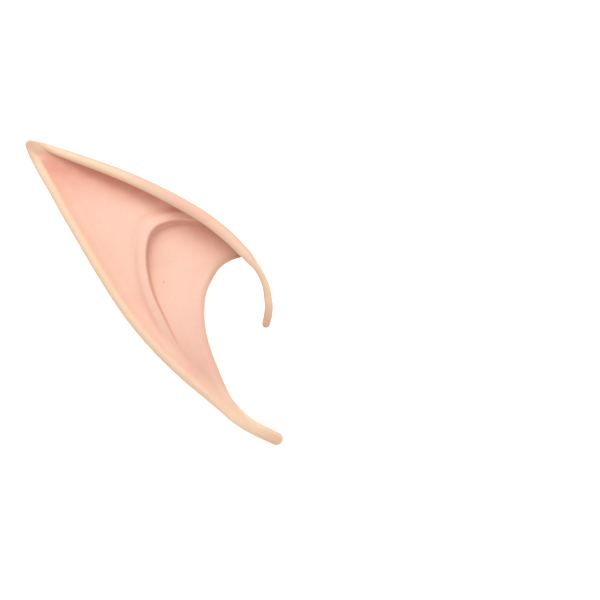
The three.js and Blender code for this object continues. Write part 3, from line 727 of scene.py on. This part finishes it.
# along, out, height, width as a share of UPPER_RIM
HOOK_LINE = (
    (0.576, 0.668, 0.91, 1.02),
    (0.604, 0.675, 0.885, 0.74),
    (0.627, 0.672, 0.845, 0.6),
    (0.651, 0.658, 0.795, 0.57),
    (0.678, 0.629, 0.735, 0.62),
    (0.701, 0.588, 0.68, 0.68),
    (0.719, 0.551, 0.64, 0.7),
    (0.735, 0.501, 0.605, 0.72),
    (0.746, 0.457, 0.585, 0.66),
)


def hook_section(t):
    height, width = row_at(HOOK_LINE, t)[2:]
    left = left_of(HOOK_LINE, t)
    centre = place_at(HOOK_LINE, t) + (0, 0, height * EAR_DEPTH)
    run = np.array([left[1], -left[0], 0])
    return SimpleNamespace(
        centre=centre, left=left, run=run, width=width * UPPER_RIM, thickness=HOOK_THICKNESS
    )


hook_root = (
    arch.front[arch.lip_index :]
    + arch.back[HOOK_SEAM:-1][::-1]
    + [arch.back_edge, arch.floor[-1], arch.front_edge]
)
grow_limb(
    hook_root, hook_section, len(HOOK_LINE) - 1, power=1, steps_per_row=8,
    limb_paint=HOOK_PAINT, end_tan=HOOK_END_TAN,
)


# The tail, the lower rim's free end, a flat strip of solid latex cast with the rest. It follows
# the wearer's lobe, and nothing fixes it there.
TAIL_THICKNESS = 3.3
TAIL_PAINT = (0.05, 0, 0, 0)
TAIL_END_TAN = 0.45
# along and out of its upper outline; the lower one is the lower rim's
TAIL_LINE = ((0.841, -0.086), (0.874, -0.084), (0.909, -0.063), (0.945, -0.024), (0.976, 0.012))


def tail_section(t):
    low_edge, up_edge = place_at(LOWER_RIM_LINE, MOUTH_END + t), place_at(TAIL_LINE, t)
    left = unit(up_edge - low_edge)
    crest = row_at(LOWER_RIM_LINE, MOUTH_END + t)[2] * EAR_DEPTH
    centre = (low_edge + up_edge) / 2 + (0, 0, crest - TAIL_THICKNESS / 2)
    width = np.linalg.norm(up_edge - low_edge)
    run = np.array([left[1], -left[0], 0])
    return SimpleNamespace(
        centre=centre, left=left, run=run, width=width, thickness=TAIL_THICKNESS
    )


tail_root = end.front[: end.lip_index + 1] + end.back[1 : HOOK_SEAM + 1][::-1]
grow_limb(
    tail_root, tail_section, len(TAIL_LINE) - 1, power=0.8, steps_per_row=10,
    limb_paint=TAIL_PAINT, end_tan=TAIL_END_TAN,
)


# The whole casting as one mesh, in metres. The ear lies loose on its flat back, with its point
# up and to the left, where the model's ear lies.
LEAN = math.radians(-49.05)
casting = bpy.data.meshes.new("elf_ear_skin")
cos_lean, sin_lean = math.cos(LEAN), math.sin(LEAN)
leaning = np.array([[cos_lean, sin_lean, 0], [-sin_lean, cos_lean, 0], [0, 0, 1]])
used = sorted({k for face in skin_faces for k in face})
renumber = {k: n for n, k in enumerate(used)}
points = (all_points() @ leaning / 1000)[used]
cad_low, cad_high = (np.array(corner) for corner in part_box("elf_ear"))
own_low, own_high = points.min(0), points.max(0)
points += (cad_low + cad_high - own_low - own_high) / 2 * (1, 1, 0)
points[:, 2] += cad_low[2] - own_low[2]
casting.from_pydata(points.tolist(), [], [[renumber[k] for k in face] for face in skin_faces])
casting.polygons.foreach_set("use_smooth", np.ones(len(casting.polygons), dtype=bool))
for name, values in zip(("pink", "rose_and_shade", "tan_and_shade", "bare"), np.concatenate(skin_paint)[used].T):
    layer = casting.attributes.new(name, "FLOAT", "POINT")
    layer.data.foreach_set("value", np.clip(values, 0, 1).astype(np.float32))
ear = bpy.data.objects.new("elf_ear_casting", casting)
bpy.context.scene.collection.objects.link(ear)

# Painted latex. The cast skin is a warm ivory, airbrushed pink and rose and rubbed tan by hand, so
# the colour is faintly cloudy. Rose and tan are also laid on as painted shade in the hollows, in
# the fold's crease and along the outline. It is matte, with fine pores from the plaster, and lets
# a little light in at thin edges. One dark speck lies in the bowl.
IVORY = (0.88, 0.63, 0.44, 1)
PINK = (0.90, 0.575, 0.455, 1)
# rose and tan are paint colours and also painted shade
ROSE_AND_SHADE = (0.75, 0.345, 0.25, 1)
TAN_AND_SHADE = (0.60, 0.37, 0.25, 1)
BARE = (0.82, 0.62, 0.44, 1)
SPECK = (0.30, 0.16, 0.09, 1)
SPECK_PLACE = (0.0031, 0.0032, 0)
SPECK_CORE, SPECK_EDGE, SPECK_STRENGTH = 0.0001, 0.00042, 0.45
CLOUD_SCALE, MOTTLE_SCALE, SHEEN_SCALE, PORE_SCALE, RIPPLE_SCALE = 260, 900, 700, 2600, 320
NOISE_LOW, NOISE_HIGH = 0.3, 0.7
LEAST_CLOUD, MOST_CLOUD = 0.82, 1.12
MOTTLE_LOW, MOTTLE_HIGH, MOST_MOTTLE = 0.35, 0.65, 0.10
LEAST_ROUGHNESS, MOST_ROUGHNESS = 0.46, 0.6
PORE_STRENGTH, PORE_DEPTH = 0.12, 0.00012
RIPPLE_STRENGTH, RIPPLE_DEPTH = 0.25, 0.00025

latex = bpy.data.materials.new("painted_latex")
latex.use_nodes = True
nodes, links = latex.node_tree.nodes, latex.node_tree.links
shader = nodes["Principled BSDF"]
coordinates = nodes.new("ShaderNodeTexCoord")


def fill(socket, value):
    """Links a socket, or sets a number or a colour on it."""
    if isinstance(value, bpy.types.NodeSocket):
        links.new(value, socket)
    else:
        socket.default_value = value


def amount(name):
    """One of the four amounts of paint."""
    node = nodes.new("ShaderNodeAttribute")
    node.attribute_name = name
    return node.outputs["Fac"]


def noise(scale, detail, roughness=0.5):
    node = nodes.new("ShaderNodeTexNoise")
    node.inputs["Scale"].default_value = scale
    node.inputs["Detail"].default_value = detail
    node.inputs["Roughness"].default_value = roughness
    links.new(coordinates.outputs["Object"], node.inputs["Vector"])
    return node.outputs["Fac"]


def over(factor, first, second):
    """The second colour laid over the first by a factor."""
    node = nodes.new("ShaderNodeMix")
    node.data_type = "RGBA"
    for socket, value in ((0, factor), (6, first), (7, second)):
        fill(node.inputs[socket], value)
    return node.outputs[2]


def ranged(value, from_low, from_high, to_low, to_high):
    node = nodes.new("ShaderNodeMapRange")
    links.new(value, node.inputs["Value"])
    ends = {"From Min": from_low, "From Max": from_high, "To Min": to_low, "To Max": to_high}
    for socket, number in ends.items():
        node.inputs[socket].default_value = number
    return node.outputs["Result"]


def combined(kind, operation, first, second):
    """Two values through a math node, or two vectors through a vector math node."""
    node = nodes.new(kind)
    node.operation = operation
    for socket, value in zip(node.inputs, (first, second)):
        fill(socket, value)
    return node.outputs


def multiplied(first, second):
    return combined("ShaderNodeMath", "MULTIPLY", first, second)[0]


def bumped(height, strength, distance):
    node = nodes.new("ShaderNodeBump")
    node.inputs["Strength"].default_value = strength
    node.inputs["Distance"].default_value = distance
    links.new(height, node.inputs["Height"])
    return node


cloudy = ranged(noise(CLOUD_SCALE, 4), NOISE_LOW, NOISE_HIGH, LEAST_CLOUD, MOST_CLOUD)
colour = over(multiplied(amount("pink"), cloudy), IVORY, PINK)
# the rose and tan amounts carry painted shade as well as paint
colour = over(multiplied(amount("rose_and_shade"), cloudy), colour, ROSE_AND_SHADE)
colour = over(amount("tan_and_shade"), colour, TAN_AND_SHADE)
colour = over(amount("bare"), colour, BARE)
mottle = ranged(noise(MOTTLE_SCALE, 5, 0.6), MOTTLE_LOW, MOTTLE_HIGH, 0, MOST_MOTTLE)
colour = over(mottle, colour, ROSE_AND_SHADE)

place = coordinates.outputs["Object"]
flat_place = combined("ShaderNodeVectorMath", "MULTIPLY", place, (1, 1, 0))[0]
from_speck = combined("ShaderNodeVectorMath", "DISTANCE", flat_place, SPECK_PLACE)["Value"]
near_speck = ranged(from_speck, SPECK_CORE, SPECK_EDGE, SPECK_STRENGTH, 0)
colour = over(multiplied(near_speck, amount("pink")), colour, SPECK)
links.new(colour, shader.inputs["Base Color"])

sheen = noise(SHEEN_SCALE, 3)
roughness = ranged(sheen, NOISE_LOW, NOISE_HIGH, LEAST_ROUGHNESS, MOST_ROUGHNESS)
links.new(roughness, shader.inputs["Roughness"])
shader.inputs["Subsurface Weight"].default_value = 0.12
shader.inputs["Subsurface Radius"].default_value = (1.0, 0.4, 0.25)
shader.inputs["Subsurface Scale"].default_value = 0.0012
shader.inputs["Specular IOR Level"].default_value = 0.35

pores = bumped(noise(PORE_SCALE, 3, 0.55), PORE_STRENGTH, PORE_DEPTH)
ripples = bumped(noise(RIPPLE_SCALE, 2), RIPPLE_STRENGTH, RIPPLE_DEPTH)
links.new(pores.outputs["Normal"], ripples.inputs["Normal"])
links.new(ripples.outputs["Normal"], shader.inputs["Normal"])
casting.materials.append(latex)

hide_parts("elf_ear")
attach(ear, "root")


# The floor, a plain sheet of white paper wide enough for every view. It glows a little, because
# the photographed sheet is burnt out to white around the ear.
FLOOR_REACH = 3.0
FLOOR_DROP = 0.0001
sheet = bpy.data.meshes.new("floor_sheet")
signs = ((-1, -1), (1, -1), (1, 1), (-1, 1))
corners = [(x * FLOOR_REACH, y * FLOOR_REACH, -FLOOR_DROP) for x, y in signs]
sheet.from_pydata(corners, [], [(0, 1, 2, 3)])
floor = bpy.data.objects.new("floor", sheet)
bpy.context.scene.collection.objects.link(floor)
paper = bpy.data.materials.new("white_sheet")
paper.use_nodes = True
paper_shader = paper.node_tree.nodes["Principled BSDF"]
paper_shader.inputs["Base Color"].default_value = (0.9, 0.9, 0.9, 1)
paper_shader.inputs["Roughness"].default_value = 0.9
paper_shader.inputs["Emission Color"].default_value = (1, 1, 1, 1)
paper_shader.inputs["Emission Strength"].default_value = 0.5
sheet.materials.append(paper)


# The light, as in a small photo studio: a wide soft lamp beyond the ear's upper rim, a weaker one
# opposite, and an even white room. Sizes are in metres and powers in watts.
ROOM_LIGHT = 0.54
LAMPS = (
    # place, width, power
    ((-0.28, 0.70, 0.56), 0.6, 6.2),
    ((0.50, -0.45, 0.60), 0.6, 2.6),
)
for number, (place, width, power) in enumerate(LAMPS):
    lamp_data = bpy.data.lights.new(f"soft_lamp_{number + 1}", "AREA")
    lamp_data.shape = "SQUARE"
    lamp_data.size = width
    lamp_data.energy = power
    lamp = bpy.data.objects.new(lamp_data.name, lamp_data)
    lamp.location = place
    lamp.rotation_euler = Vector(place).to_track_quat("Z", "Y").to_euler()
    bpy.context.scene.collection.objects.link(lamp)
room = bpy.data.worlds.new("white_room")
room.use_nodes = True
room.node_tree.nodes["Background"].inputs["Color"].default_value = (1, 1, 1, 1)
room.node_tree.nodes["Background"].inputs["Strength"].default_value = ROOM_LIGHT
bpy.context.scene.world = room
bpy.context.scene.view_settings.view_transform = "Standard"


# The camera, straight above as in the photograph, and far enough away to flatten the view. The
# ear lies to the left in the frame, which is a given width across at half the ear's height.
PICTURE_WIDTH = 0.1818
PICTURE_MIDDLE = (0.0443, -0.0022)
CAMERA_HEIGHT = 1.5
MIDDLE_HEIGHT = 0.008
SENSOR_WIDTH = 36
camera_data = bpy.data.cameras.new("camera")
camera_data.sensor_width = SENSOR_WIDTH
camera_data.lens = SENSOR_WIDTH * (CAMERA_HEIGHT - MIDDLE_HEIGHT) / PICTURE_WIDTH
camera_data.clip_end = 20
camera = bpy.data.objects.new("camera", camera_data)
camera.location = (*PICTURE_MIDDLE, CAMERA_HEIGHT)
camera.rotation_euler = (0, 0, 0)
bpy.context.scene.collection.objects.link(camera)
bpy.context.scene.camera = camera
